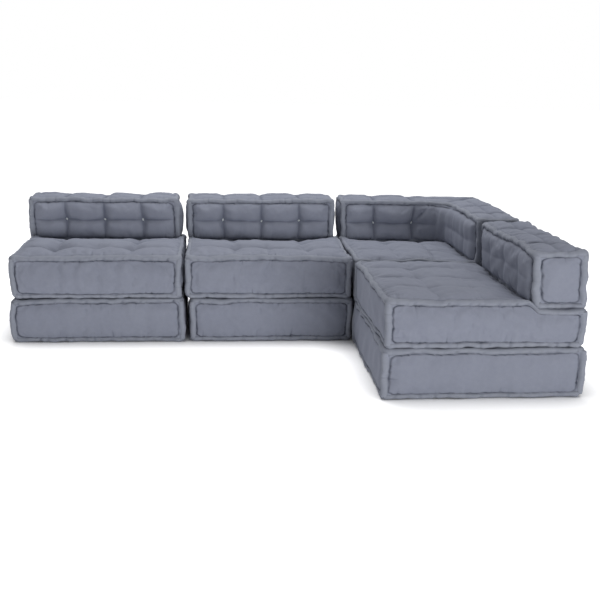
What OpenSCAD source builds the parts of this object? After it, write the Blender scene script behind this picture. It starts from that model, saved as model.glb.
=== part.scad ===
// Modular corner sofa of stacked floor mattresses.
// Three straight places and one corner place stand in an L.
// Each place is a base mattress, a tufted seat mattress and a tufted back cushion,
// every one of them a quilted cover over a filling block, edged with stuffed rolls.

/* [Place] */
// Side of one square place, over its edge rolls
place_w = 850; // [780:5:950]
// Gap between places that stand side by side along the back
side_gap = 10; // [8:1:30]
// Gap between the corner place and the place in front of it
turn_gap = 16; // [8:1:40]

/* [Base and seat] */
// Height of a base mattress over its rolls
base_h = 225; // [180:5:260]
// Height of a seat mattress over its rolls
seat_h = 210; // [190:5:240]
// How far the weight of a back cushion presses the seat down
seat_sink = 36; // [20:1:40]
// Length of the slope down to the pressed part of a seat
sink_slope = 38; // [30:1:60]
// Clear foot of that slope in front of a back cushion
sink_toe = 9; // [8:1:20]

/* [Back cushions] */
// Height of a back cushion over its rolls
back_h = 242; // [210:1:280]
// Thickness of a back cushion over its rolls
back_t = 220; // [190:5:250]
// How far a back cushion stands inside the outline of its place
back_inset = 14; // [10:1:30]
// Inner radius of the corner cushion's bend
bend_r = 75; // [60:1:110]

/* [Edge rolls] */
// Radius of the stuffed roll along every edge
roll_r = 14; // [11:0.5:15]
// How much fatter a roll is where rolls meet
corner_swell = 1; // [0.5:0.1:2]
// Depth of the sewn crease between a roll and a panel
seam_gap = 0.3; // [0.2:0.05:0.5]

/* [Panels and tufting] */
// Rise of a seat's pillows over the panel seams
seat_puff = 28; // [20:1:32]
// Rise of a base's pillows over the panel seams, before the seat presses them flat
base_puff = 26; // [22:1:32]
// Rise of a back cushion's pillows over the panel seams
back_puff = 21; // [16:1:22]
// Rise of a back cushion's top pillows over the panel seams
crest_puff = 22; // [16:1:26]
// Bulge of a plain side panel
side_puff = 10; // [5:1:12]
// Depth of the creases between pillows
crease = 12; // [6:1:14]
// Further depth of the dent at a tuft
tuft_pull = 18; // [10:1:20]
// Radius of a tuft's knot
knot_r = 6.5; // [5:0.5:8]
// Radius of a tuft's waxed twine
twine_r = 1.5; // [1:0.25:2.5]

/* [Cover and filling] */
// Quilted thickness of a cover behind its panel seams
cover_t = 25; // [22:1:32]
// Depth of batting over the filling, below the outline's top
batting_t = 50; // [46:1:60]
// Clearance round the filling block
fill_gap = 0.3; // [0.2:0.05:0.5]
// Clearance between stacked pieces
rest_gap = 0.3; // [0.2:0.05:0.5]

/* [Hidden] */
$fn = 32;

// The roll's axis lies this far inside the outline, and a panel starts past its bevel
axis_in = roll_r + corner_swell;
bevel_in = (roll_r + seam_gap) * sqrt(2);
panel_in = axis_in + bevel_in;
// A side panel's corners are cut back a little, so that no two points meet there
corner_cut = bevel_in / 5;

// Where the back cushion stands on the seat, and the slope in front of it
back_front = place_w - back_inset - back_t;
slope_top = back_front - sink_toe - sink_slope;
slope_foot = back_front - sink_toe;
back_w = place_w - 2 * back_inset;

// Pillows per side of a base or seat, along a back cushion, and up its face
pillows = 4;
back_rows = 2;
// The flanks of a pillow, as shares of its width
flank_shares = [0, 0.22, 0.78];
base_flank_shares = [0, 0.5];
face_shares = [0, 0.28, 0.72, 1];
low_face_shares = [0, 0.5, 1];
// A side panel's inner ring, as shares of its outline and of its bulge
cap_shares = [0.62, 0.85];
// Roundness of a pillow, and how soon a panel rises from its seam
lobe_power_share = 0.5;
rise_power_share = 0.25;
// Places of the corner cushion's tufts along each arm, as shares of the cushion's side
arm_tuft_shares = [0.21, 0.47];
// How far a knot stands out of its dent, as a share of its radius
knot_out_share = 0.5;

function mix(a, b, share) = a + (b - a) * share;
function span(share, size) = mix(panel_in, size - panel_in, share);
function kept_in(value, low, high) = max(low, min(high, value));
function lobe(share, count) = pow(abs(sin(180 * count * share)), lobe_power_share);
function rise(share) = share <= 0 || share >= 1 ? 0 : pow(sin(180 * share), rise_power_share);
function pillow_shares(count, flanks) =
    concat([for (p = [0:count - 1]) for (s = flanks) (p + s) / count], [1]);

// Height of a tufted panel over its seams: lobes run 0 in a crease to 1 on a pillow.
// What lies on a panel presses it flat, level with its rolls.
function puffed(along, across, edge, puff) =
    edge * (puff - crease * (1 - min(along, across)) - tuft_pull * (1 - along) * (1 - across));

// A seat is pressed down behind its slope; q is the distance from its front
function pressed(q) = kept_in((q - slope_top) / sink_slope, 0, 1);

// A station is where a cross-section stands along a cushion:
// [place along the length, pillow lobe there, rise from the end seams there]
function straight_stations(length, shares, count) =
    [for (s = shares) [span(s, length), lobe(s, count), rise(s)]];

// One cross-section as [distance from the front, height] pairs, from the bottom panel's front
// border up the front, over the top, down the back and to the bottom panel's back border
function section(st, depth, height, rows, top_shares, sink, front, top, back) =
    let (inner = st[2] > 0,
         foot_q = inner ? panel_in + axis_in : panel_in,
         foot_z = inner ? 0 : axis_in,
         front_h = height - sink(st[0], 0),
         back_h = height - sink(st[0], depth))
    concat(
        [[foot_q, foot_z]],
        [for (v = rows) [axis_in - front(st, v), span(v, front_h)]],
        [for (v = top_shares)
            let (q = span(v, depth))
            [q, height - sink(st[0], q) - axis_in + top(st, v, q)]],
        [for (i = [len(rows) - 1:-1:0])
            [depth - axis_in + back(st, rows[i]), span(rows[i], back_h)]],
        [[depth - foot_q, foot_z]]);

// The border of an end panel, point for point with a cross-section
function end_border(at, depth, height, rows, top_shares, sink) =
    let (low = panel_in + corner_cut,
         front_h = height - sink(at, 0),
         back_h = height - sink(at, depth))
    concat(
        [[low, panel_in]],
        [for (v = rows) [panel_in, kept_in(span(v, front_h), low, front_h - low)]],
        [for (v = top_shares)
            let (q = kept_in(span(v, depth), low, depth - low))
            [q, height - sink(at, q) - panel_in]],
        [for (i = [len(rows) - 1:-1:0])
            [depth - panel_in, kept_in(span(rows[i], back_h), low, back_h - low)]],
        [[depth - low, panel_in]]);

function middle_of(values) = (min(values) + max(values)) / 2;
function centre_of(points) = [for (k = [0, 1]) middle_of([for (p = points) p[k]])];
function shrunk(points, share) =
    let (c = centre_of(points))
    [for (p = points) c + (p - c) * share];

// Closed skin through rings of equally many points, with a middle point at each end.
// Each ring runs clockwise as seen from the last ring.
function skin_points(rings, first_middle, last_middle) =
    concat([for (ring = rings) each ring], [first_middle, last_middle]);
function skin_faces(ring_count, n) =
    let (first_middle = ring_count * n, last_middle = ring_count * n + 1, last = (ring_count - 1) * n)
    concat(
        [for (r = [0:ring_count - 2]) for (i = [0:n - 1])
            let (a = r * n + i, b = r * n + (i + 1) % n, c = a + n, d = b + n)
            each [[a, b, c], [b, d, c]]],
        [for (i = [0:n - 1]) [first_middle, (i + 1) % n, i]],
        [for (i = [0:n - 1]) [last_middle, last + i, last + (i + 1) % n]]);

module skin(rings, first_middle, last_middle) {
    polyhedron(
        points = skin_points(rings, first_middle, last_middle),
        faces = skin_faces(len(rings), len(rings[0])));
}

// A straight cushion's skin: cross-sections along X, bulged end panels
module straight_skin(length, depth, height, stations, rows, top_shares, sink, front, top, end_puff) {
    left = end_border(0, depth, height, rows, top_shares, sink);
    right = end_border(length, depth, height, rows, top_shares, sink);
    bulge = end_puff * cap_shares[1];
    rings = concat(
        [[for (p = shrunk(left, cap_shares[0])) [axis_in - bulge, p[0], p[1]]]],
        [[for (p = left) [axis_in, p[0], p[1]]]],
        [for (st = stations)
            [for (p = section(st, depth, height, rows, top_shares, sink, front, top, front))
                [st[0], p[0], p[1]]]],
        [[for (p = right) [length - axis_in, p[0], p[1]]]],
        [[for (p = shrunk(right, cap_shares[0])) [length - axis_in + bulge, p[0], p[1]]]]);
    left_middle = centre_of(left);
    right_middle = centre_of(right);
    skin(
        rings,
        [axis_in - end_puff, left_middle[0], left_middle[1]],
        [length - axis_in + end_puff, right_middle[0], right_middle[1]]);
}

// A box between two corners, drawn in by a gap on every side
module block(low, high, gap = 0) {
    translate(low + [gap, gap, gap]) cube(high - low - 2 * [gap, gap, gap]);
}

// A stretch of roll between two points of its axis
module roll_stretch(a, b) {
    v = b - a;
    translate(a) rotate([0, acos(v.z / norm(v)), atan2(v.y, v.x)]) cylinder(r = roll_r, h = norm(v));
}

// Rolls along the edges that join numbered points, with a fatter lump at each point
module roll_frame(points, edges) {
    union() {
        for (p = points) translate(p) sphere(r = axis_in);
        for (e = edges) roll_stretch(points[e[0]], points[e[1]]);
    }
}

// The eight corners of a cushion's roll axes, bottom ring first
function roll_corners(length, depth, height) =
    let (x = length - axis_in, y = depth - axis_in, z = height - axis_in)
    [[axis_in, axis_in, axis_in], [x, axis_in, axis_in], [x, y, axis_in], [axis_in, y, axis_in],
     [axis_in, axis_in, z], [x, axis_in, z], [x, y, z], [axis_in, y, z]];
ring_edges = [[0, 1], [1, 2], [2, 3], [3, 0]];
upright_edges = [[0, 4], [1, 5], [2, 6], [3, 7]];
top_edges = [[4, 5], [5, 6], [6, 7], [7, 4]];

// A knot on top of a dent, and its twine down to a stop; the tuft points along +Z
module tuft(dent_z, stop_z) {
    translate([0, 0, dent_z + knot_r * knot_out_share]) sphere(r = knot_r);
    translate([0, 0, stop_z]) cylinder(r = twine_r, h = dent_z - stop_z);
}

// Base mattress: plain sides, a tufted top that the seat presses flat
no_sink = function (at, q) 0;
plain_side = function (st, v) side_puff * st[2] * rise(v);
base_top = function (st, v, q)
    min(axis_in, puffed(st[1], lobe(v, pillows), st[2] * rise(v), base_puff));
base_shares = pillow_shares(pillows, base_flank_shares);

module base_cover() {
    color("slategray") difference() {
        straight_skin(
            place_w, place_w, base_h, straight_stations(place_w, base_shares, pillows),
            low_face_shares, base_shares, no_sink, plain_side, base_top, side_puff);
        base_block(0);
    }
}

module base_block(gap) {
    inside = axis_in + cover_t;
    block([inside, inside, cover_t], [place_w - inside, place_w - inside, base_h - batting_t], gap);
}

module base_filling() {
    color("wheat") base_block(fill_gap);
}

module base_rolls() {
    color("lightslategray")
        roll_frame(roll_corners(place_w, place_w, base_h), concat(ring_edges, upright_edges, top_edges));
}

module base_tufts() {
    color("gainsboro")
        for (i = [1:pillows - 1]) for (j = [1:pillows - 1])
            let (dent = puffed(0, 0, rise(i / pillows) * rise(j / pillows), base_puff))
            translate([span(i / pillows, place_w), span(j / pillows, place_w), 0])
                tuft(base_h - axis_in + dent, cover_t / 2);
}

// Seat mattress: plain sides, a tufted top that dips where the back cushion stands.
// The rolls turn down the slope, and there the cover is drawn in further, to lie clear of them.
slope_angle = atan(seat_sink / sink_slope);
slope_bevel = sqrt(1 + pow(cos(slope_angle), 2)) / cos(slope_angle);
bend_drop = (axis_in + seam_gap) * slope_bevel - bevel_in;
function on_slope(q) = q > slope_top - sink_toe / 2 && q < slope_foot + sink_toe / 2;
function settled(q) = seat_sink * pressed(q) + (on_slope(q) ? bend_drop : 0);
seat_sides_sink = function (at, q) settled(q);
corner_sink = function (at, q) max(settled(at), settled(q));
// Rows of points across the seat, with the slope's top and foot between the tufts
slope_shares = [for (q = [slope_top, slope_foot]) (q - panel_in) / (place_w - 2 * panel_in)];
seat_shares = pillow_shares(pillows, flank_shares);
split_seat_shares = concat(
    [for (s = seat_shares) if (s < slope_shares[0] - (slope_shares[1] - slope_shares[0]) / 2) s],
    slope_shares,
    [for (s = seat_shares) if (s > slope_shares[1] + (slope_shares[1] - slope_shares[0]) / 4) s]);

function seat_height(down, along, across, edge) =
    let (free = puffed(along, across, edge, seat_puff))
    down < 1 ? free : min(axis_in, free);
straight_seat_top = function (st, v, q)
    seat_height(pressed(q), st[1], lobe(v, pillows), st[2] * rise(v));
corner_seat_top = function (st, v, q)
    seat_height(max(pressed(st[0]), pressed(q)), st[1], lobe(v, pillows), st[2] * rise(v));

module seat_blocks(gap, corner) {
    inside = axis_in + cover_t;
    far = place_w - inside;
    high = seat_h - batting_t;
    step = slope_top;
    block([inside, inside, cover_t], [far, far, high - seat_sink], gap);
    block([inside, inside, cover_t], [corner ? step : far, step, high], gap);
}

module straight_seat_cover() {
    color("slategray") difference() {
        straight_skin(
            place_w, place_w, seat_h, straight_stations(place_w, seat_shares, pillows),
            face_shares, split_seat_shares, seat_sides_sink, plain_side, straight_seat_top, side_puff);
        seat_blocks(0, false);
    }
}

module corner_seat_cover() {
    color("slategray") difference() {
        straight_skin(
            place_w, place_w, seat_h, straight_stations(place_w, split_seat_shares, pillows),
            face_shares, split_seat_shares, corner_sink, plain_side, corner_seat_top, side_puff);
        seat_blocks(0, true);
    }
}

module straight_seat_filling() {
    color("wheat") union() seat_blocks(fill_gap, false);
}

module corner_seat_filling() {
    color("wheat") union() seat_blocks(fill_gap, true);
}

module straight_seat_rolls() {
    far = place_w - axis_in;
    high = seat_h - axis_in;
    low = high - seat_sink;
    points = [
        [axis_in, axis_in, axis_in], [far, axis_in, axis_in], [far, far, axis_in], [axis_in, far, axis_in],
        [axis_in, axis_in, high], [far, axis_in, high], [far, far, low], [axis_in, far, low],
        [axis_in, slope_top, high], [axis_in, slope_foot, low],
        [far, slope_top, high], [far, slope_foot, low]];
    color("lightslategray") roll_frame(points, concat(
        ring_edges, upright_edges,
        [[4, 5], [6, 7], [4, 8], [8, 9], [9, 7], [5, 10], [10, 11], [11, 6]]));
}

module corner_seat_rolls() {
    far = place_w - axis_in;
    high = seat_h - axis_in;
    low = high - seat_sink;
    points = [
        [axis_in, axis_in, axis_in], [far, axis_in, axis_in], [far, far, axis_in], [axis_in, far, axis_in],
        [axis_in, axis_in, high], [far, axis_in, low], [far, far, low], [axis_in, far, low],
        [axis_in, slope_top, high], [axis_in, slope_foot, low],
        [slope_top, axis_in, high], [slope_foot, axis_in, low]];
    color("lightslategray") roll_frame(points, concat(
        ring_edges, upright_edges,
        [[5, 6], [6, 7], [4, 8], [8, 9], [9, 7], [4, 10], [10, 11], [11, 5]]));
}

// Dents and knots of a seat; a pressed one lies lower by the sink
module seat_tufts(corner) {
    color("gainsboro")
        for (i = [1:pillows - 1]) for (j = [1:pillows - 1])
            let (x = span(i / pillows, place_w), y = span(j / pillows, place_w),
                 down = max(pressed(y), corner ? pressed(x) : 0),
                 dent = seat_height(down, 0, 0, rise(i / pillows) * rise(j / pillows)))
            translate([x, y, 0]) tuft(seat_h - axis_in - seat_sink * down + dent, cover_t / 2);
}

module straight_seat_tufts() {
    seat_tufts(false);
}

module corner_seat_tufts() {
    seat_tufts(true);
}

// Back cushion: two rows of pillows front and back, creases running on over the top
back_face = function (st, v) puffed(st[1], lobe(v, back_rows), st[2] * rise(v), back_puff);
back_top = function (st, v, q) st[2] * rise(v) * (crest_puff - crease * (1 - st[1]));
back_rows_shares = pillow_shares(back_rows, flank_shares);
back_length_shares = pillow_shares(pillows, flank_shares);
back_wall = axis_in + cover_t;

module straight_back_cover() {
    color("slategray") difference() {
        straight_skin(
            back_w, back_t, back_h, straight_stations(back_w, back_length_shares, pillows),
            back_rows_shares, face_shares, no_sink, back_face, back_top, back_puff);
        straight_back_block(0);
    }
}

module straight_back_block(gap) {
    block([back_wall, back_wall, cover_t], [back_w - back_wall, back_t - back_wall, back_h - batting_t], gap);
}

module straight_back_filling() {
    color("wheat") straight_back_block(fill_gap);
}

module straight_back_rolls() {
    color("lightslategray")
        roll_frame(roll_corners(back_w, back_t, back_h), concat(ring_edges, upright_edges, top_edges));
}

// A tie through a back cushion's thickness with a knot in the dent at each face
module through_tuft(dent_in) {
    for (side = [0, 1])
        translate([0, side * back_t, 0]) mirror([0, side, 0])
            translate([0, dent_in - knot_r * knot_out_share, 0]) sphere(r = knot_r);
    translate([0, dent_in, 0]) rotate([-90, 0, 0]) cylinder(r = twine_r, h = back_t - 2 * dent_in);
}

module straight_back_tufts() {
    color("gainsboro")
        for (i = [1:pillows - 1])
            let (dent = puffed(0, 0, rise(i / pillows) * rise(1 / back_rows), back_puff))
            translate([span(i / pillows, back_w), 0, back_h / 2]) through_tuft(axis_in - dent);
}

// Corner back cushion: the same section led along the back, round a bend and down the side.
// An arm's last half pillow swells into the bend.
arm_end = back_w - back_t - bend_r;
arm_marks = concat([panel_in], [for (s = arm_tuft_shares) s * back_w], [arm_end]);
arm_stations = [
    for (p = [0, 1]) for (s = flank_shares)
        let (at = mix(arm_marks[p], arm_marks[p + 1], s))
        [at, p == 0 && s == 0 ? 1 : lobe(s, 1), rise((at - panel_in) / (2 * (back_w - panel_in)))],
    for (s = face_shares)
        let (at = mix(arm_marks[2], arm_marks[3], s))
        [at, lobe(s / 2, 1), rise((at - panel_in) / (2 * (back_w - panel_in)))]];
// The outer corner's upright roll lies in a bevel between these two angles of the bend
bend_out = bend_r + back_t - axis_in;
bevel_angle = atan((bend_out - bevel_in) / bend_out);
bend_shares = [0.25, 0.5, 0.75, 1];
half_bend = [for (s = bend_shares) [bevel_angle * s, 1, 1, s < 1 ? 1 : 0]];
bend_stations = concat(
    half_bend,
    [for (i = [len(half_bend) - 1:-1:0]) concat([90 - half_bend[i][0]], [for (k = [1:3]) half_bend[i][k]])]);
outer_face = function (st, v) back_face(st, v) * (len(st) > 3 ? st[3] : 1);

// Places of a cross-section's point on the first arm, in the bend and on the second arm
function on_back_arm(at, p) = [at, back_w - back_t + p[0], p[1]];
function on_side_arm(at, p) = [back_w - back_t + p[0], at, p[1]];
function in_bend(angle, p) =
    let (share = p[0] / back_t, square = (bend_r + back_t) / max(cos(angle), sin(angle)),
         reach = mix(bend_r / cos(bevel_angle * bend_shares[0] / 2), square, share))
    [arm_end + reach * sin(angle), arm_end + reach * cos(angle), p[1]];

function corner_back_section(st) =
    section(st, back_t, back_h, back_rows_shares, face_shares, no_sink, back_face, back_top, outer_face);

module corner_back_skin() {
    border = end_border(0, back_t, back_h, back_rows_shares, face_shares, no_sink);
    inner = shrunk(border, cap_shares[0]);
    bulge = back_puff * cap_shares[1];
    middle = centre_of(border);
    arm = [for (st = arm_stations) [st[0], corner_back_section(st)]];
    bend = [for (st = bend_stations) [st[0], corner_back_section(st)]];
    rings = concat(
        [[for (p = inner) on_back_arm(axis_in - bulge, p)]],
        [[for (p = border) on_back_arm(axis_in, p)]],
        [for (a = arm) [for (p = a[1]) on_back_arm(a[0], p)]],
        [for (b = bend) [for (p = b[1]) in_bend(b[0], p)]],
        [for (i = [len(arm) - 1:-1:0]) [for (p = arm[i][1]) on_side_arm(arm[i][0], p)]],
        [[for (p = border) on_side_arm(axis_in, p)]],
        [[for (p = inner) on_side_arm(axis_in - bulge, p)]]);
    skin(rings, on_back_arm(axis_in - back_puff, middle), on_side_arm(axis_in - back_puff, middle));
}

module corner_back_blocks(gap) {
    near = back_w - back_t + back_wall;
    far = back_w - back_wall;
    high = back_h - batting_t;
    block([back_wall, near, cover_t], [far, far, high], gap);
    block([near, back_wall, cover_t], [far, far, high], gap);
}

module corner_back_cover() {
    color("slategray") difference() {
        corner_back_skin();
        corner_back_blocks(0);
    }
}

module corner_back_filling() {
    color("wheat") union() corner_back_blocks(fill_gap);
}

module corner_back_rolls() {
    outer = back_w - axis_in;
    inner = back_w - back_t + axis_in;
    levels = [axis_in, back_h - axis_in];
    plan = [[axis_in, inner], [inner, axis_in], [outer, axis_in], [outer, outer], [axis_in, outer]];
    n = len(plan);
    points = [for (z = levels) for (p = plan) [p.x, p.y, z]];
    rings = [for (k = [0, n]) for (i = [1:n - 1]) [k + i, k + (i + 1) % n]];
    uprights = [for (i = [0:n - 1]) [i, i + n]];
    color("lightslategray") union() {
        roll_frame(points, concat(rings, uprights));
        for (z = levels) {
            roll_stretch([axis_in, inner, z], [arm_end, inner, z]);
            roll_stretch([inner, arm_end, z], [inner, axis_in, z]);
            translate([arm_end, arm_end, z])
                rotate_extrude(angle = 90) translate([bend_r + axis_in, 0]) circle(r = roll_r);
        }
    }
}

module corner_back_tufts() {
    color("gainsboro")
        for (s = arm_tuft_shares)
            let (at = s * back_w, edge = rise((at - panel_in) / (2 * (back_w - panel_in))) * rise(1 / back_rows),
                 dent = puffed(0, 0, edge, back_puff)) {
                translate([at, back_w - back_t, back_h / 2]) through_tuft(axis_in - dent);
                translate([back_w - back_t, at, back_h / 2]) mirror([1, -1, 0]) through_tuft(axis_in - dent);
            }
}

// Places of the four groups; the origin is under the middle of the whole sofa
place_step = place_w + side_gap;
row_x = -(3 * place_w + 2 * side_gap) / 2;
front_y = -(2 * place_w + turn_gap) / 2;
row_y = front_y + place_w + turn_gap;
seat_z = base_h + rest_gap;
back_z = seat_z + seat_h - seat_sink + rest_gap;

module left_place() {
    translate([row_x, row_y, 0]) children();
}

module middle_place() {
    translate([row_x + place_step, row_y, 0]) children();
}

module corner_place() {
    translate([row_x + 2 * place_step, row_y, 0]) children();
}

// The right place is turned a quarter turn, so that its back stands at the right
module right_place() {
    translate([row_x + 2 * place_step, front_y + place_w, 0]) rotate([0, 0, -90]) children();
}

module on_base() {
    translate([0, 0, seat_z]) children();
}

module on_seat() {
    translate([back_inset, place_w - back_inset - back_t, back_z]) children();
}

module on_corner_seat() {
    translate([back_inset, back_inset, back_z]) children();
}

left_place() base_cover();  // left_base_cover
left_place() base_filling();  // left_base_filling
left_place() base_rolls();  // left_base_rolls
left_place() base_tufts();  // left_base_tufts
left_place() on_base() straight_seat_cover();  // left_seat_cover
left_place() on_base() straight_seat_filling();  // left_seat_filling
left_place() on_base() straight_seat_rolls();  // left_seat_rolls
left_place() on_base() straight_seat_tufts();  // left_seat_tufts
left_place() on_seat() straight_back_cover();  // left_back_cover
left_place() on_seat() straight_back_filling();  // left_back_filling
left_place() on_seat() straight_back_rolls();  // left_back_rolls
left_place() on_seat() straight_back_tufts();  // left_back_tufts

middle_place() base_cover();  // middle_base_cover
middle_place() base_filling();  // middle_base_filling
middle_place() base_rolls();  // middle_base_rolls
middle_place() base_tufts();  // middle_base_tufts
middle_place() on_base() straight_seat_cover();  // middle_seat_cover
middle_place() on_base() straight_seat_filling();  // middle_seat_filling
middle_place() on_base() straight_seat_rolls();  // middle_seat_rolls
middle_place() on_base() straight_seat_tufts();  // middle_seat_tufts
middle_place() on_seat() straight_back_cover();  // middle_back_cover
middle_place() on_seat() straight_back_filling();  // middle_back_filling
middle_place() on_seat() straight_back_rolls();  // middle_back_rolls
middle_place() on_seat() straight_back_tufts();  // middle_back_tufts

right_place() base_cover();  // right_base_cover
right_place() base_filling();  // right_base_filling
right_place() base_rolls();  // right_base_rolls
right_place() base_tufts();  // right_base_tufts
right_place() on_base() straight_seat_cover();  // right_seat_cover
right_place() on_base() straight_seat_filling();  // right_seat_filling
right_place() on_base() straight_seat_rolls();  // right_seat_rolls
right_place() on_base() straight_seat_tufts();  // right_seat_tufts
right_place() on_seat() straight_back_cover();  // right_back_cover
right_place() on_seat() straight_back_filling();  // right_back_filling
right_place() on_seat() straight_back_rolls();  // right_back_rolls
right_place() on_seat() straight_back_tufts();  // right_back_tufts

corner_place() base_cover();  // corner_base_cover
corner_place() base_filling();  // corner_base_filling
corner_place() base_rolls();  // corner_base_rolls
corner_place() base_tufts();  // corner_base_tufts
corner_place() on_base() corner_seat_cover();
corner_place() on_base() corner_seat_filling();
corner_place() on_base() corner_seat_rolls();
corner_place() on_base() corner_seat_tufts();
corner_place() on_corner_seat() corner_back_cover();
corner_place() on_corner_seat() corner_back_filling();
corner_place() on_corner_seat() corner_back_rolls();
corner_place() on_corner_seat() corner_back_tufts();
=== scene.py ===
"""Modular corner sofa: four places of stacked, tufted cotton mattresses in an L.

Metres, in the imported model's frame. Every place is a base mattress, a seat mattress and a loose
back cushion; each of these is a stuffed cover, the stitched rolls along its edges, and its tufts.
"""
import math

import bpy
import numpy as np
from mathutils import Matrix, Vector


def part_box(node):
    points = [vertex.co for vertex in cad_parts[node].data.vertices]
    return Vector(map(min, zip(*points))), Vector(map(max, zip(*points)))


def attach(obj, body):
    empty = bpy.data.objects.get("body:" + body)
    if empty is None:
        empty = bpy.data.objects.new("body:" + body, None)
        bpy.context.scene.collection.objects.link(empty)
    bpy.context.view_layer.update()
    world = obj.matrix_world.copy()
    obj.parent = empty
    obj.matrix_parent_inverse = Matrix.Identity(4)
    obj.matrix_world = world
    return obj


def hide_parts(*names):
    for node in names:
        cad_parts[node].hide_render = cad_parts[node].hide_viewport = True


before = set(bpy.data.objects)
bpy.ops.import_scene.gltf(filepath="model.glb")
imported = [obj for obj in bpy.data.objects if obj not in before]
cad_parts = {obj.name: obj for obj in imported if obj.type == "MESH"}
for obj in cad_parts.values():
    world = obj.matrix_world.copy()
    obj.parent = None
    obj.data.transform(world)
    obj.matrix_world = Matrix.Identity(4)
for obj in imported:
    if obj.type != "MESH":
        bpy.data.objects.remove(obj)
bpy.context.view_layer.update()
scene = bpy.context.scene


# Camera
# The photograph was taken from a standing person's eye height, in front of the middle of the row,
# a little downwards and turned slightly to the right, with a lens a little longer than normal.
EYE = (-0.2816, -4.4732, 1.3617)
TURN, TILT, ROLL = math.radians(5.596), math.radians(14.251), math.radians(-1.318)


def new(operator, **settings):
    """The new object of an operator that would act on all that is still selected."""
    bpy.ops.object.select_all(action="DESELECT")
    operator(**settings)
    return bpy.context.object


camera = new(bpy.ops.object.camera_add)
camera.name = "Camera"
camera.data.sensor_width = 36.0
camera.data.lens = 54.866
camera.matrix_world = (Matrix.Translation(EYE) @ Matrix.Rotation(-TURN, 4, "Z")
                       @ Matrix.Rotation(math.pi / 2 - TILT, 4, "X") @ Matrix.Rotation(-ROLL, 4, "Z"))
scene.camera = camera


# Places
# Four squares of 850 mm on the floor: three along the back and one in front of the corner place.
# The one in front is turned a quarter turn to the right, so that its back cushion closes the L.
PLACE = 0.85  # side of a place over its rolls
AXIS_IN = 0.015  # a roll's axis inside the outline
TOUCH = 0.0003  # clearance between stacked cushions
PLACES = ["left", "middle", "corner", "right"]


def placed(points, place, rise):
    """A cushion's points, measured from its place's front left corner, in the sofa's frame."""
    low, high = (np.array(corner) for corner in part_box(f"{place}_base_rolls"))
    centre = (low + high) / 2
    x, y = points[:, 0] - PLACE / 2, points[:, 1] - PLACE / 2
    if place == "right":
        x, y = y, -x
    return np.column_stack([x + centre[0], y + centre[1], points[:, 2] + rise])


# Base mattresses
# The lower mattress of each place: a box of washed cotton canvas stuffed hard with cotton and foam,
# tufted through, closed by hand along stuffed rolls. The seat on it presses its top pillows flat.
BASE_H = 0.225
SEAM_IN = 0.0105  # from a roll's axis to the stitches that close it
LIP = 0.0085  # height of those stitches over the roll's axis
TOP_LIP = 0.0155  # the same on a top, whose full pillows hide the stitches
SEAM_TURN = 0.028  # how roundly the stitches turn a panel's corner
SEAM_SUNK, SUNK_W = 0.0028, 0.004  # depth and width of the groove at a side's stitches
POST_SHARE = 0.62  # below 1 the margin along an upright edge is sewn wider
EDGE_RISE = 0.007  # a panel rises from its bare edge over this length
PITCH = 0.043  # distance of the hand stitches that pinch a roll
SIDE_BULGE = 0.0165  # how far a plain side swells over its rolls' axes
CLEAR = 0.0008  # how far flat panels keep inside their rolls
NEAR = 1e-5  # points this close to a panel's plane lie on it
EVEN = (1.0, 1.0, 1.0)  # ties all drawn equally hard
PANEL_IN = 0.0352  # the rows of ties quarter a panel from here
base_marks = [PANEL_IN + (PLACE - 2 * PANEL_IN) * share for share in (0.25, 0.5, 0.75)]
boxes = {"base": ((PLACE, PLACE, BASE_H), (0, 0, 0))}  # each cushion's size and its origin


def unit(vectors):
    return vectors / np.linalg.norm(vectors, axis=-1, keepdims=True)


def ripples(points, seed, longest, shortest, amount, waves=14):
    """A smooth irregular height at each point: plane waves of mixed length and direction."""
    rng = np.random.default_rng(seed)
    total = np.zeros(len(points))
    for length in np.geomspace(longest, shortest, waves):
        way = unit(rng.normal(size=3))
        total += np.sin(points @ way * (2 * math.pi / length) + rng.uniform(0, 2 * math.pi))
    return total * amount / math.sqrt(waves / 2)


def read(items, name, width, kind=float):
    flat = np.empty(len(items) * width, dtype=kind)
    items.foreach_get(name, flat)
    return flat.reshape(-1, width)


def mesh_points(piece):
    return read(piece.data.vertices, "co", 3)


def mesh_edges(piece):
    return read(piece.data.edges, "vertices", 2, np.int32)


def mesh_normals(piece):
    return read(piece.data.vertex_normals, "vector", 3)


def move_points(piece, points):
    piece.data.vertices.foreach_set("co", np.asarray(points, dtype=float).ravel())
    piece.data.update()


def remember(piece, name, values):
    """Stores a value per point, for materials or for work after the subdivision."""
    kind = "FLOAT" if values.ndim == 1 else "FLOAT_VECTOR"
    layer = piece.data.attributes.get(name) or piece.data.attributes.new(name, kind, "POINT")
    layer.data.foreach_set("value" if kind == "FLOAT" else "vector", values.astype(float).ravel())


def recall(piece, name):
    return read(piece.data.attributes[name].data, "vector", 3)


def mode(name):
    bpy.ops.object.mode_set(mode=name)


def only(piece):
    """Selects one piece and nothing else, and makes it the active one."""
    bpy.ops.object.select_all(action="DESELECT")
    piece.select_set(True)
    bpy.context.view_layer.objects.active = piece


def cut_along(piece, axis, steps):
    """Cuts the edges that run along an axis, and the faces between them, into even steps."""
    scene.tool_settings.mesh_select_mode = (False, True, False)
    mode("EDIT")
    bpy.ops.mesh.select_all(action="DESELECT")
    mode("OBJECT")
    points, ends = mesh_points(piece), mesh_edges(piece)
    along = np.abs(points[ends[:, 0], axis] - points[ends[:, 1], axis]) > NEAR
    piece.data.edges.foreach_set("select", along)
    mode("EDIT")
    bpy.ops.mesh.subdivide(number_cuts=steps - 1)
    mode("OBJECT")


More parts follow.
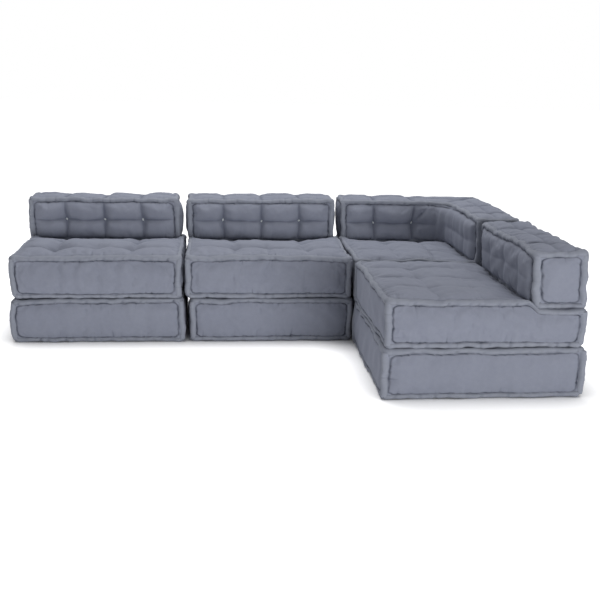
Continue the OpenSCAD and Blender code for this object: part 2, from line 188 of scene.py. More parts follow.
def grid_block(name, cells):
    """A closed block of unit size with an even grid of that many cells on its faces."""
    block = new(bpy.ops.mesh.primitive_cube_add, size=1, location=(0.5, 0.5, 0.5))
    block.name = block.data.name = name
    bpy.ops.object.transform_apply(location=True, rotation=False, scale=False)
    for axis, count in enumerate(cells):
        for steps in ((count,) if count <= 100 else (2, count // 2)):  # 100 cuts at most in one go
            cut_along(block, axis, steps)
    return block


def graded(share):
    """Crowds the grid's lines towards both ends, where the seams' gathers are."""
    return share - 0.42 * np.sin(2 * math.pi * share) / (2 * math.pi)


def eased(value, start, end):
    t = np.clip((value - start) / (end - start), 0, 1)
    return t * t * (3 - 2 * t)


def swell(distance, width):
    """How a stuffed panel rises from its seam: steeply, then levelling out."""
    return 1 - np.exp(-np.maximum(distance, 0) / width)


def crease(distance, width):
    return np.exp(-np.abs(distance) / width)


def rounded(near, far):
    """The distance from a panel's nearest edge, led round the panel's corners."""
    led = SEAM_TURN - np.hypot(SEAM_TURN - np.minimum(near, SEAM_TURN),
                               SEAM_TURN - np.minimum(far, SEAM_TURN))
    return np.where(near < SEAM_TURN, np.maximum(led, 0), near)


def panel(first, second, size_a, size_b, width, full, lip=LIP, upright=False):
    """A panel's height over its rolls' axes: round like them to the stitches, then swelling."""
    a = (np.minimum(first, size_a - first) - AXIS_IN) * (POST_SHARE if upright else 1)
    b = np.minimum(second, size_b - second) - AXIS_IN
    away = rounded(np.minimum(a, b), np.maximum(a, b))
    margin = np.sqrt(LIP ** 2 + SEAM_IN ** 2 - np.minimum(away, SEAM_IN) ** 2)
    if upright:
        margin -= SEAM_SUNK * crease(away - SEAM_IN, SUNK_W)
    return np.maximum(margin, lip) * eased(np.minimum(a, b), 0, EDGE_RISE) \
        + (full - lip) * swell(away - SEAM_IN, width)


def plain_panel(first, second, size_a, size_b, bulge):
    """An untufted side: full from its stitches on, and a little more in the middle."""
    dome = np.clip(1 - (2 * first / size_a - 1) ** 2, 0, 1) \
        * np.clip(1 - (2 * second / size_b - 1) ** 2, 0, 1)
    rim = LIP + 0.004
    full = rim + (bulge - rim) * np.sqrt(dome)
    return panel(first, second, size_a, size_b, width=0.009, full=full, upright=True)


def between(value, marks, size):
    """Distance to the nearest row of ties, that row, and the roundness between two rows."""
    lines = np.array([AXIS_IN, *marks, size - AXIS_IN])
    cell = np.clip(np.searchsorted(lines, value) - 1, 0, len(lines) - 2)
    share = np.clip((value - lines[cell]) / (lines[cell + 1] - lines[cell]), 0, 1)
    away = np.abs(value[:, None] - np.array(marks))
    return away.min(axis=1), away.argmin(axis=1), 2 * np.sqrt(share * (1 - share))


def taut(to_tie):
    """How sharp a crease is: most at its ties, where the cloth is tightest."""
    return 0.6 + 0.4 * crease(to_tie, 0.06)


def pit(to_tie, radius):
    return np.exp(-(to_tie / radius) ** 1.4)


def tufted_panel(first, second, size_a, size_b, marks_a, marks_b, puff, valley, dent, width,
                 drawn_a=EVEN, drawn_b=EVEN, lip=LIP, dent_r=0.028, flat=0.5, upright=False,
                 heavy_foot=False):
    """Pillows between seams: creases along the rows of ties and a dent at each tie."""
    to_a, row_a, round_a = between(first, marks_a, size_a)
    to_b, row_b, round_b = between(second, marks_b, size_b)
    if heavy_foot:  # the lowest row's pillows are fullest near their foot
        down = np.clip((marks_b[0] - second) / (marks_b[0] - AXIS_IN), 0, 1)
        round_b = np.where(second < marks_b[0], np.sqrt(down * (2 - down)), round_b)
    drawn_a, drawn_b = np.array(drawn_a)[row_a], np.array(drawn_b)[row_b]
    to_tie = np.hypot(to_a, to_b)
    lines = np.maximum(crease(to_a, width) * drawn_a, crease(to_b, width) * drawn_b) * taut(to_tie)
    pits = pit(to_tie, dent_r) * drawn_a * drawn_b
    round_a, round_b = 1 - (1 - round_a) * drawn_a, 1 - (1 - round_b) * drawn_b
    full = puff * (flat + (1 - flat) * round_a * round_b) - valley * lines - dent * pits
    return panel(first, second, size_a, size_b, 0.014, full, lip, upright), lines, pits


def fold_values(piece):
    """Curvature at each point: below zero in folds and seams, above it on ridges."""
    points, ends = mesh_points(piece), mesh_edges(piece)
    count = np.bincount(ends.ravel(), minlength=len(points))
    total = [np.bincount(ends[:, 0], points[ends[:, 1], k], len(points))
             + np.bincount(ends[:, 1], points[ends[:, 0], k], len(points)) for k in range(3)]
    mean = np.column_stack(total) / np.maximum(count, 1)[:, None]
    return np.einsum("ij,ij->i", points - mean, mesh_normals(piece))


# The canvas as a cloth under the stuffing's pressure; it gives a little, so that it can swell
CANVAS = {"quality": 3, "mass": 0.4, "tension_stiffness": 25, "compression_stiffness": 25,
          "shear_stiffness": 8, "bending_stiffness": 0.3, "vertex_group_mass": "sewn",
          "use_pressure": True, "uniform_pressure_force": 4, "shrink_min": -0.035}


def inflate(piece, held, cap, frames=20):
    """Blows the cover up as cloth between its seams and ties; held is 1 where it is sewn down."""
    start = mesh_points(piece)
    group = piece.vertex_groups.new(name="sewn")
    for weight in np.unique(np.round(held, 1)):
        group.add(np.flatnonzero(np.round(held, 1) == weight).tolist(), float(weight), "REPLACE")
    cloth = piece.modifiers.new("Cloth", "CLOTH")
    for name, value in CANVAS.items():
        setattr(cloth.settings, name, value)
    cloth.settings.effector_weights.gravity = 0
    cloth.point_cache.frame_start, cloth.point_cache.frame_end = 1, frames
    for number in range(1, frames + 1):
        scene.frame_set(number)
    bpy.context.view_layer.objects.active = piece
    bpy.ops.object.modifier_apply(modifier=cloth.name)
    scene.frame_set(1)
    piece.vertex_groups.clear()
    moved = mesh_points(piece) - start
    length = np.maximum(np.linalg.norm(moved, axis=1), 1e-9)
    moved *= (cap * np.tanh(length / cap) / length * (1 - held))[:, None]
    return start + moved


def seam_gap(rest, size):
    """How far each point of a cover is from the nearest roll's axis."""
    away = np.minimum(rest - AXIS_IN, np.array(size) - AXIS_IN - rest)
    away[away[:, 2] > NEAR, :2] *= POST_SHARE
    _, near, far = np.sort(away, axis=1).T
    return rounded(near, far)


def stitches(at, key):
    """Each hand stitch of a seam has a whole number: its pull there, 0 to 1, and its strength."""
    number = at.sum(axis=1) / PITCH
    number = number + 0.20 * np.sin(1.9 * number + key) + 0.11 * np.sin(0.83 * number + 2.1 * key)
    strength = np.random.default_rng(key).uniform(0.35, 1.0, 97)
    return (1 - np.abs(np.sin(math.pi * number)) ** 0.55,
            strength[np.floor(number + 0.5).astype(int) % 97])


PUFF, PLUCK = 0.0012, 0.0034  # how a panel's rim stands up between stitches and dips at them
PLEAT, PLEAT_W = 0.0040, 0.0055  # the deepest pleat beside a seam, and half its width


def gathers(rest, size, key, shape):
    """Height of the folds that run from the stitches at each seam into the panels."""
    rng = np.random.default_rng(key)
    total = np.zeros(len(rest))
    for axis in range(3):
        for face in (AXIS_IN, size[axis] - AXIS_IN):
            on = np.flatnonzero(np.abs(rest[:, axis] - face) < NEAR)
            for way in {0, 1, 2} - {axis}:
                cross = 3 - axis - way
                for edge in (AXIS_IN, size[cross] - AXIS_IN):
                    seam = rest[on]
                    past = np.maximum(np.abs(seam[:, cross] - edge) - SEAM_IN, 0)
                    along = seam[:, way].copy()
                    seam[:, cross] = edge
                    pull, strength = stitches(shape(seam), key)
                    lift = (PUFF - PLUCK * pull * strength) * crease(past, 0.012)
                    for spot in rng.uniform(0.02, size[way] - 0.02, round(size[way] / 0.06)):
                        depth, reach = rng.uniform(0.03, 1) ** 2 * PLEAT, rng.uniform(0.008, 0.034)
                        lift -= depth * np.exp(-((along - spot) / PLEAT_W) ** 2) * crease(past, reach)
                    total[on] += lift
    return total


# The painted shade line along each seam's valley:
SEAM_SET, SEAM_SWAY, SEAM_W = 0.0004, 0.0036, 0.0027  # the dark line: set off, wandering, width


def finish_cover(piece, size, key, wrinkle, shape=np.asarray, calm=None):
    """Subdivides a cover and adds its gathers and wrinkles; calm is where they are held back."""
    only(piece)
    finer = piece.modifiers.new("Subdivision", "SUBSURF")
    finer.levels = finer.render_levels = 1
    bpy.ops.object.modifier_apply(modifier=finer.name)
    bpy.ops.object.shade_smooth()
    rest = recall(piece, "rest")
    gap = seam_gap(rest, size)
    on_top = rest[:, 2] > size[2] - AXIS_IN - NEAR
    pull, strength = stitches(shape(rest), key)
    off = gap - SEAM_IN - SEAM_SET - SEAM_SWAY * (pull - 0.3) * strength
    # Painted shade along the valley at each seam, faint on a top
    remember(piece, "seam", np.exp(-(off / SEAM_W) ** 2) * np.where(on_top, 0.1, 1))
    points = mesh_points(piece)
    lift = gathers(rest, size, key, shape) \
        + ripples(points, key + 1, 0.20, 0.045, wrinkle) * swell(gap - SEAM_IN, 0.03)
    if calm is not None:
        lift *= calm(rest)
    return points + mesh_normals(piece) * lift[:, None]


# How far the left, right, front and rear side of a cushion stand out (+) or in (-), in mm, at its
# foot, waist and head; the sides that aren't given are EVEN_SIDE
EVEN_SIDE = (0, 3, 0)
STANCE = {
    ("left", "base"): [(-11, 0, -9), (4, 9, 5)],
    ("left", "seat"): [(-19, -8, -10), (-6, -4, -5)],
    ("left", "back"): [(14, 17, 17), (-15, -22, -29)],
    ("middle", "base"): [(-27, -25, -25), (0, 1, 0), (-2, 2, 0)],
    ("middle", "seat"): [(-8, -4, -4), (-5, -4, -5)],
    ("middle", "back"): [(8, 10, 8), (-11, -12, -14)],
    ("corner", "base"): [(-10, -8, -8), (4, 9, 6), (0, -2, 0)],
    ("corner", "seat"): [(0, 2, 1), (0, 7, 0), (0, -1, 0)],
    ("corner", "back"): [(7, 9, 9), (6, 6, 4), (10, 11, 10)],
    ("right", "base"): [(0, -2, 0), (2, 4, 0), (4, 8, 4), (27, 37, 24)],
    ("right", "seat"): [(-5, -6, -5), (0, 5, 0), (2, 5, 3), (14, 19, 2)],
    ("right", "back"): [(-58, -56, -58), EVEN_SIDE, (-9, -5, 2), (27, 24, 17)],
}
# How much fuller (+ mm) or drooping (-) one top edge of a seat is, and the axis across that edge
HEAD_EDGE = {"left": (9, 1), "middle": (9, 1), "corner": (-10, 1), "right": (-13, 0)}
FOOT_PRESS = 0.005  # a back cushion's weight flattens its foot into the seat
SEAT_H = 0.21
SEAT_Z = BASE_H + TOUCH
SINK = 0.036  # how deep the back cushion presses into the seat
# Where each level stands, and the heights over that which its points keep to
RISE = {"base": 0, "seat": SEAT_Z, "back": SEAT_Z + SEAT_H - SINK + TOUCH}
LIMITS = {"base": (TOUCH, BASE_H - 0.0002), "seat": (TOUCH, 1), "back": (-FOOT_PRESS, 1)}


def settle(piece, points, place, level):
    """Lays a finished piece down: turned or mirrored, out of square as hand-made things are."""
    size, origin = boxes.get((place, level)) or boxes[level]
    turns = PLACES.index(place)
    points = points.copy()
    if level == "back":
        points = (corner_head if place == "corner" else straight_head)(points)
    if level == "base":
        for _ in range(turns):
            points[:, :2] = np.column_stack([PLACE - points[:, 1], points[:, 0]])
    elif place == "middle":
        points[:, 0] = size[0] - points[:, 0]
        piece.data.flip_normals()
    share = np.clip(points / size, 0, 1)
    t = share[:, 2]
    sides = STANCE[place, level] + [EVEN_SIDE] * 4
    for side, (foot, waist, head) in enumerate(sides[:4]):
        axis, high = divmod(side, 2)
        bow = foot + t * (4 * waist - 3 * foot - head) + t * t * (2 * foot + 2 * head - 4 * waist)
        points[:, axis] += (share[:, axis] if high else share[:, axis] - 1) * bow / 1000
    if level == "seat":
        lift, axis = HEAD_EDGE[place]
        points[:, 2] += lift / 1000 * eased(t, 0.4, 1) * (1 - eased(share[:, axis], 0, 0.22))
    if level == "back":
        points[:, 2] -= FOOT_PRESS * (1 - eased(t, 0, 0.3))
    points += origin
    seed = {"base": 7, "seat": 17, "back": 27}[level] + turns
    shift = [ripples(points, seed + 40 * axis, 0.75, 0.25, 0.0026, 6)
             + ripples(points, seed + 40 * axis + 9, 0.20, 0.07, 0.0015, 6) for axis in range(3)]
    points += np.column_stack(shift) * np.column_stack([np.ones((len(points), 2)), eased(t, 0, 0.3)])
    points[:, 2] = np.clip(points[:, 2], *LIMITS[level])
    move_points(piece, placed(points, place, RISE[level]))
    # Curvature, for the canvas: paler worn ridges and painted shade in folds
    remember(piece, "fold", fold_values(piece))
    only(piece)
    bpy.ops.object.shade_smooth()


def copied(piece, name):
    only(piece)
    bpy.ops.object.duplicate()
    twin = bpy.context.object
    twin.name = twin.data.name = name
    return twin


def linear(hexes):
    """An sRGB hex colour as Blender's linear values."""
    parts = [int(hexes[i:i + 2], 16) / 255 for i in (1, 3, 5)]
    return [c / 12.92 if c <= 0.04045 else ((c + 0.055) / 1.055) ** 2.4 for c in parts] + [1.0]


def feed(node, inputs):
    """Sets a shader node's inputs: to values, or linked to sockets or to nodes' first outputs."""
    for key, value in inputs.items():
        if isinstance(value, bpy.types.Node):
            value = value.outputs[0]
        if isinstance(value, bpy.types.NodeSocket):
            node.id_data.links.new(value, node.inputs[key])
        else:
            node.inputs[key].default_value = value
    return node


def add(tree, kind, inputs={}, **settings):
    """Adds a shader node with its inputs and its own settings."""
    made = tree.nodes.new("ShaderNode" + kind)
    for key, value in settings.items():
        setattr(made, key, value)
    return feed(made, inputs)


def empty_tree(data, name):
    """A new material or world, and its node tree."""
    made = data.new(name)
    made.use_nodes = True
    return made, made.node_tree


THREAD_MM = 2.4  # the real thread, under 1 mm, is drawn this coarse so that it shows
WEAVE_DEPTH = 0.0006


def washed_cotton(name, body, worn, fold_shade):
    """Washed slate cotton: matt, paler where it rubs, with painted shade in its folds, tie creases
    and seams, a slubby weave.
    """
    material, tree = empty_tree(bpy.data.materials, name)
    where = add(tree, "TexCoord").outputs["Object"]
    fold, drawn, seam = (add(tree, "Attribute", attribute_name=kept).outputs["Fac"]
                         for kept in ("fold", "drawn", "seam"))
    # Wash: broad, soft patches where the dye took unevenly
    wash = add(tree, "TexNoise", {"Vector": where, "Scale": 4.0, "Detail": 3.0, "Roughness": 0.5})
    # Slubs: thick places of the yarn, eight threads long, to break the even colour
    slub = add(tree, "TexNoise", {"Vector": where, "Scale": 1000 / (THREAD_MM * 8), "Detail": 3.0,
                                  "Roughness": 0.6})
    tone = add(tree, "Math", {0: wash, 1: slub}, operation="ADD")
    tone = add(tree, "MapRange", {"Value": tone, "From Min": 0.7, "From Max": 1.3})
    cloth_colour = add(tree, "Mix", {0: tone, 6: linear(body[0]), 7: linear(body[1])}, data_type="RGBA")
    # Wear and painted shade: ridges that rub are a little paler; the bottoms of folds, and the
    # creases and dents that the ties draw in, are painted darker for the shade that falls in them
    for value, start, end, most, wear_and_shade in ((fold, 0.0001, 0.0011, 0.45, worn),
                                         (fold, -0.0002, -0.0016, 0.75, fold_shade),
                                         (drawn, 0.3, 1.0, 0.75, fold_shade)):
        amount = add(tree, "MapRange", {"Value": value, "From Min": start, "From Max": end,
                                        "To Max": most})
        cloth_colour = add(tree, "Mix", {0: amount, 6: cloth_colour.outputs[2], 7: linear(wear_and_shade)}, data_type="RGBA")
    # Stitched seams: a thin line of painted shade, now deeper, now shallower, in the valley where
    # roll and panel meet
    hand = add(tree, "TexNoise", {"Vector": where, "Scale": 22.0, "Detail": 1.0})
    hand = add(tree, "MapRange", {"Value": hand, "From Min": 0.35, "From Max": 0.6, "To Min": 0.5,
                                  "To Max": 1.0})
    line = add(tree, "Math", {0: seam, 1: hand}, operation="MULTIPLY")
    sewn = add(tree, "Mix", {0: line, 6: cloth_colour.outputs[2], 7: linear("#2b2f3a")}, data_type="RGBA")
    # Weave: crossed threads, one ridge each
    weave = None
    for way in "XYZ":
        wave = add(tree, "TexWave", {"Vector": where, "Scale": 1000 / THREAD_MM / 6.2832 * 0.5,
                                     "Distortion": 1.5, "Detail": 1.0, "Detail Scale": 2.0},
                   bands_direction=way).outputs["Fac"]
        weave = add(tree, "Math", {0: weave, 1: wave}, operation="MULTIPLY") if weave else wave
    bumps = add(tree, "Bump", {"Height": weave, "Strength": 0.25, "Distance": WEAVE_DEPTH})
    # Crumpling: the small soft creases that washing leaves, some 30 mm apart
    crumple = add(tree, "TexNoise", {"Vector": where, "Scale": 30.0, "Detail": 4.0,
                                     "Roughness": 0.55, "Distortion": 0.5})
    crumple = add(tree, "Bump", {"Height": crumple, "Strength": 0.22, "Distance": 0.004,
                                 "Normal": bumps})
    rough = add(tree, "MapRange", {"Value": slub, "To Min": 0.82, "To Max": 0.97})
    # Matt fibres with a faint fuzz over them
    feed(tree.nodes["Principled BSDF"], {
        "Base Color": sewn.outputs[2], "Normal": crumple, "Roughness": rough, "IOR": 1.45,
        "Specular IOR Level": 0.25, "Sheen Weight": 0.12, "Sheen Roughness": 0.5,
        "Sheen Tint": linear("#aeb3c2")})
    return material


# What each part of a cushion is made of: its slot, its material and the CAD nodes it stands for
canvas = washed_cotton("washed slate cotton canvas", ("#7c808e", "#828693"), "#8e929d", "#565b69")
parts = {"cover": ("cotton_cover", canvas, "cover", "filling")}


def lay(piece, points, place, level, part):
    """Settles a finished piece in its cushion, in its material."""
    settle(piece, points, place, level)
    slot, material, *nodes = parts[part]
    piece.data.materials.clear()
    piece.data.materials.append(material)
    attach(piece, f"{place}_{level}")
    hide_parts(*(f"{place}_{level}_{node}" for node in nodes))


def cover_shape(piece, size, top, front=None, rear=None, sink=None, bulge=SIDE_BULGE, under=CLEAR):
    """Moves a unit block's points to a stuffed cover; a side without a form is plain."""
    def foot(x, y):
        return panel(x, y, size[0], size[1], width=0.02, full=AXIS_IN - under)

    share = mesh_points(piece)
    rest = AXIS_IN + graded(share) * (np.array(size) - 2 * AXIS_IN)
    remember(piece, "rest", rest)
    points = rest.copy()
    if sink:
        points[:, 2] -= sink(rest[:, 0], rest[:, 1]) * share[:, 2]
    lines, pits = np.zeros(len(rest)), np.zeros(len(rest))
    for across, high, form in ((2, 1, top), (2, 0, foot), (1, 0, front), (1, 1, rear), (0, 0, None),
                               (0, 1, None)):
        on = np.abs(share[:, across] - high) < NEAR
        first, second = (rest[on, k] for k in range(3) if k != across)
        made = form(first, second) if form \
            else plain_panel(first, second, size[1 - across], size[2], bulge)
        if isinstance(made, tuple):
            made, lines[on], pits[on] = made
        points[on, across] += made if high else -made
    return points, lines, pits


def blown(piece, shaped, size, cap, painted_crease_shade=1.0):
    """A shaped cover's points after it is inflated; the last argument is how dark the painted shade
    along its rows of ties is.
    """
    points, lines, pits = shaped
    # Painted shade for the ties' creases and dents, which the canvas material darkens
    remember(piece, "drawn", np.maximum(lines * painted_crease_shade, pits))
    move_points(piece, points)
    seams = crease(np.maximum(seam_gap(recall(piece, "rest"), size) - SEAM_IN, 0), 0.006)
    held = np.clip(np.max([seams, pits ** 2 * 1.2, lines * 0.7], axis=0), 0, 1)
    return inflate(piece, held, cap)


def calmed(piece, shaped, points, calm):
    """Takes back what the inflation did to a cover where calm is below 1."""
    return shaped[0] + (points - shaped[0]) * calm(recall(piece, "rest"))[:, None]


ties = {}  # where each cushion's ties meet its cover: points and ways out
UPWARDS = [(0, 0, 1)] * 9


def lay_cover(cover, points, place, level, targets, outs):
    """Lays a cover down and notes its ties, which are at the targets in the flat cover."""
    rest = recall(cover, "rest")
    ties[place, level] = [(points[((rest - target) ** 2).sum(axis=1).argmin()], out)
                          for target, out in zip(targets, outs)]
    lay(cover, points, place, level, "cover")


def base_top_form(x, y):
    made, lines, pits = tufted_panel(x, y, PLACE, PLACE, base_marks, base_marks, puff=0.030,
                                     valley=0.006, dent=0.012, width=0.021)
    return np.minimum(made, AXIS_IN - CLEAR), lines, pits


def smooth_on(axis, face, share):
    """Holds back the folds of one panel of a cover to that share."""
    return lambda rest: np.where(np.abs(rest[:, axis] - face) < NEAR, share, 1)


base_size = boxes["base"][0]
smooth_side = smooth_on(0, PLACE - AXIS_IN, 0.15)  # the right place's inner side
base_master = grid_block("base_master", cells=(64, 64, 18))
shaped = cover_shape(base_master, base_size, base_top_form)
points = calmed(base_master, shaped, blown(base_master, shaped, base_size, cap=0.005), smooth_side)
points[:, 2] = np.clip(points[:, 2], 0.0006, BASE_H - 0.0006)
move_points(base_master, points)

for turn, place in enumerate(PLACES):
    cover = copied(base_master, f"{place}_base_mattress")
    points = finish_cover(cover, base_size, 100 + turn, wrinkle=0.0009,
                          calm=smooth_side if place == "right" else None)
    targets = [(x, y, BASE_H - AXIS_IN) for x in base_marks for y in base_marks]
    lay_cover(cover, points, place, "base", targets, UPWARDS)
bpy.data.objects.remove(base_master)


# Seat mattresses
# The upper mattress of each place, a little thinner, with three rows of three tufts that pull its
# top into sixteen soft pillows. The back cushion standing on its rear edge presses it down there.
SLOPE_TOP, SLOPE_FOOT = 0.610, 0.646  # where the rolls slope down in front of the back cushion
SUNK = SINK * 0.96  # from this sink on, the seat is under the back cushion
seat_size = (PLACE, PLACE, SEAT_H)
boxes["seat"] = (seat_size, (0, 0, 0))
# Each seat's pillow height, crease and dent, and how hard its columns and rows of ties are drawn
SEAT_PILLOWS = {
    "left": (0.033, 0.008, 0.035, (1.0, 0.25, 1.0), (1.0, 0.6, 0.4)),
    "middle": (0.031, 0.007, 0.030, (1.0, 0.25, 0.9), (1.0, 0.6, 0.4)),
    "corner": (0.023, 0.003, 0.008, (0.8, 0.8, 0.5), (0.7, 0.9, 0.5)),
    "right": (0.024, 0.003, 0.012, (0.9, 0.6, 0.5), (0.8, 0.5, 0.3)),
}
SEAT_MARKS = {place: (base_marks, base_marks) for place in PLACES}
SEAT_MARKS["left"] = ([0.202, 0.412, 0.598], [0.209, 0.425, 0.62])
SEAT_MARKS["middle"] = ([0.223, 0.418, 0.600], [0.220, 0.425, 0.62])


def seat_shapes(place):
    """The sink under the back cushion and the top panel's form, for one place's seat."""
    turns_corner = place == "corner"

    def pressed(x, y, start, end):
        share = eased(y, start, end)
        return np.maximum(share, eased(x, start, end)) if turns_corner else share

    def sink(x, y):
        inward = swell(np.minimum(x, PLACE - x) - AXIS_IN - SEAM_IN, 0.05)
        if turns_corner:
            inward *= swell(np.minimum(y, PLACE - y) - AXIS_IN - SEAM_IN, 0.05)
        at_rolls = pressed(x, y, SLOPE_TOP - 0.004, SLOPE_FOOT + 0.004)
        return SINK * np.maximum(at_rolls, inward * pressed(x, y, 0.41, 0.63))

    def top(x, y):
        puff, valley, dent, columns, rows = SEAT_PILLOWS[place]
        made, lines, pits = tufted_panel(x, y, PLACE, PLACE, *SEAT_MARKS[place], puff, valley, dent,
                                         0.024, columns, rows, TOP_LIP, dent_r=0.048, flat=0.6)
        rise = 1 - 0.8 * pressed(x, y, 0.32, 0.54)
        made = np.minimum(made, TOP_LIP) + np.maximum(made - TOP_LIP, 0) * rise
        return np.where(sink(x, y) > SUNK, np.minimum(made, AXIS_IN - 0.001), made), lines, pits
    return sink, top


smooth_front = smooth_on(1, AXIS_IN, 0.15)  # the right seat's
for turn, place in enumerate(PLACES):
    sink, top = seat_shapes(place)
    cover = grid_block(f"{place}_seat_mattress", cells=(80, 80, 20))
    shaped = cover_shape(cover, seat_size, top, sink=sink)
    points = blown(cover, shaped, seat_size, cap=0.007, painted_crease_shade=0.3)
    if place == "right":
        points = calmed(cover, shaped, points, smooth_front)
    move_points(cover, points)
    points = finish_cover(cover, seat_size, 110 + turn, wrinkle=0.0011,
                          calm=smooth_front if place == "right" else None)
    rest = recall(cover, "rest")
    under_back = sink(rest[:, 0], rest[:, 1]) > SUNK
    points[:, 2] = np.clip(points[:, 2], 0.0004, np.where(under_back, SEAT_H - SINK - 0.0003, 1))
    columns, rows = SEAT_MARKS[place]
    targets = [(x, y, SEAT_H - AXIS_IN) for x in columns for y in rows]
    lay_cover(cover, points, place, "seat", targets, UPWARDS)


# Straight back cushions
# A long loose bolster of square section that stands on the rear edge of a seat. Three ties go
# through its thickness and draw both faces into two rows of four pillows; the creases run on over
# the top between the rolls.
BACK_H, BACK_T, BACK_W = 0.242, 0.22, 0.822
BACK_IN = 0.014  # inside the place's outline
END_BULGE, UNDER_BACK = 0.018, 0.001  # how far an end swells, and the foot panel inside its rolls
back_size = (BACK_W, BACK_T, BACK_H)
boxes["back"] = (back_size, (BACK_IN, PLACE - BACK_IN - BACK_T, 0))
back_marks = [s * BACK_W for s in (0.248, 0.503, 0.757)]
CHEEKS = {"left": (0.004, 0.011), "middle": (0.004, 0.010), "right": (0.004, 0.0)}  # fuller ends
BOTH_WAYS = [(0, -1, 0), (0, 1, 0)]  # a tie's ways out at the front and the rear face


def back_face_form(x, z, puff=0.039, valley=0.024, dent=0.014, width=0.013, columns=EVEN,
                   row=0.75):
    return tufted_panel(x, z, BACK_W, BACK_H, back_marks, [BACK_H / 2], puff, valley, dent, width,
                        columns, (row,), dent_r=0.038, upright=True, heavy_foot=True)


def slack_face_form(x, z):
    """The right place's inner face, whose ties are hardly drawn."""
    return back_face_form(x, z, 0.030, 0.010, 0.012, 0.026, (0.2, 0.35, 0.2), 0.15)


def crest(s, y, length, marks):
    """The top panel: humps between the creases that run over from face to face."""
    to_mark, _, round_s = between(s, marks, length)
    to_middle, _, round_y = between(y, [BACK_T * 0.52], BACK_T)
    lines = np.maximum(crease(to_mark, 0.016), 0.8 * crease(to_middle, 0.016))
    full = 0.024 * (0.62 + 0.38 * round_s * (0.3 + 0.7 * round_y)) - 0.008 * lines
    return panel(s, y, length, BACK_T, 0.014, full, TOP_LIP), lines, np.zeros(len(s))


def crest_form(x, y):
    return crest(x, y, BACK_W, back_marks)


def drawn_head(points, to_mark):
    """The ties' pull on the top edges: they dip 3 mm where the creases cross them."""
    near_top = eased(points[:, 2], 0.6 * BACK_H, BACK_H)
    points[:, 2] -= 0.003 * np.exp(-(to_mark / 0.022) ** 2) * near_top
    return points


def sagged(points):
    """The lower pillows hang down 20 mm, over the front foot roll on to the seat."""
    out = np.clip((AXIS_IN - points[:, 1]) / 0.030, 0, 1)
    points[:, 2] -= 0.020 * out * (1 - eased(points[:, 2], 0.015, 0.110))
    return points


def straight_head(points):
    """A straight bolster's dips, and its front bottom edge tucked under by its weight."""
    points = drawn_head(points, np.abs(points[:, 0, None] - np.array(back_marks)).min(axis=1))
    tuck = (1 - eased(points[:, 2], 0, 0.04)) * (1 - np.clip(points[:, 1] / BACK_T, 0, 1))
    points[:, 1] += 0.006 * tuck
    return points


back_master = grid_block("back_master", cells=(80, 22, 26))
shaped = cover_shape(back_master, back_size, crest_form, back_face_form, back_face_form,
                     bulge=END_BULGE, under=UNDER_BACK)
slack, slack_lines, _ = cover_shape(back_master, back_size, crest_form, slack_face_form,
                                    back_face_form, bulge=END_BULGE, under=UNDER_BACK)
points = blown(back_master, shaped, back_size, cap=0.006)
points[:, 2] = np.maximum(points[:, 2], CLEAR)
move_points(back_master, points)

for turn, place in enumerate(PLACES):
    if place == "corner":
        continue
    cover = copied(back_master, f"{place}_back_cushion")
    if place == "right":
        move_points(cover, mesh_points(cover) + slack - shaped[0])
        # The slack face's own creases carry its painted shade
        remember(cover, "drawn", slack_lines)
    points = finish_cover(cover, back_size, 120 + turn, wrinkle=0.0010,
                          calm=smooth_on(1, AXIS_IN, 0.3) if place == "right" else None)
    rest = recall(cover, "rest")
    round_end = np.sin(math.pi * rest[:, 1] / BACK_T) * np.sin(math.pi * rest[:, 2] / BACK_H)
    low_cheek, high_cheek = CHEEKS[place]
    points[:, 0] += round_end * (high_cheek * eased(rest[:, 0], BACK_W - 0.06, BACK_W - AXIS_IN)
                                 - low_cheek * eased(-rest[:, 0], -0.06, -AXIS_IN))
    targets = [(x, y, BACK_H / 2) for x in back_marks for y in (AXIS_IN, BACK_T - AXIS_IN)]
    lay_cover(cover, sagged(points), place, "back", targets, BOTH_WAYS * 3)
bpy.data.objects.remove(back_master)


# Corner back cushion
# The same bolster, cut as one L: it runs along the back, turns with a rounded inner and a square
# outer corner, and runs down the side. Two ties along each arm; the crease between them fades
# towards the turn, where one big pillow fills the corner.
BEND_R = 0.075
ARM = BACK_W - BACK_T - BEND_R  # length of an arm up to the turn
BEND = 0.24  # length given to the turn while the cushion is still straight
CORNER_W = 2 * ARM + BEND
ARM_MARKS = [0.23 * BACK_W, 0.495 * BACK_W]
corner_marks = ARM_MARKS + [CORNER_W - m for m in reversed(ARM_MARKS)]
flat_size = (CORNER_W, BACK_T, BACK_H)
boxes["corner", "back"] = ((BACK_W, BACK_W, BACK_H), (BACK_IN, BACK_IN, 0))
INNER_Z = BACK_H / 2 - 0.012  # the ties of the inner face sit a little low


def corner_face_form(s, z, tie_z=BACK_H / 2, drawn=(1.0, 1.0, 1.0, 1.0)):
    to_s, row, round_s = between(s, corner_marks, CORNER_W)
    to_z, _, round_z = between(z, [tie_z], BACK_H)
    drawn = np.array(drawn)[row]
    to_tie = np.hypot(to_s, to_z)
    arm = 1 - eased(-np.abs(s - CORNER_W / 2), -(CORNER_W / 2 - ARM_MARKS[1]), -0.04)
    lines = np.maximum(crease(to_s, 0.013), crease(to_z, 0.013) * 0.75 * arm) * taut(to_tie) * drawn
    pits = pit(to_tie, 0.036) * drawn
    round_z = 1 - (1 - round_z) * (0.3 + 0.7 * drawn)
    roundness = (1 - (1 - round_s) * drawn) * (arm * round_z + (1 - arm))
    full = 0.037 * (0.5 + 0.5 * roundness) - 0.021 * lines - 0.014 * pits
    return panel(s, z, CORNER_W, BACK_H, 0.014, full, upright=True), lines, pits


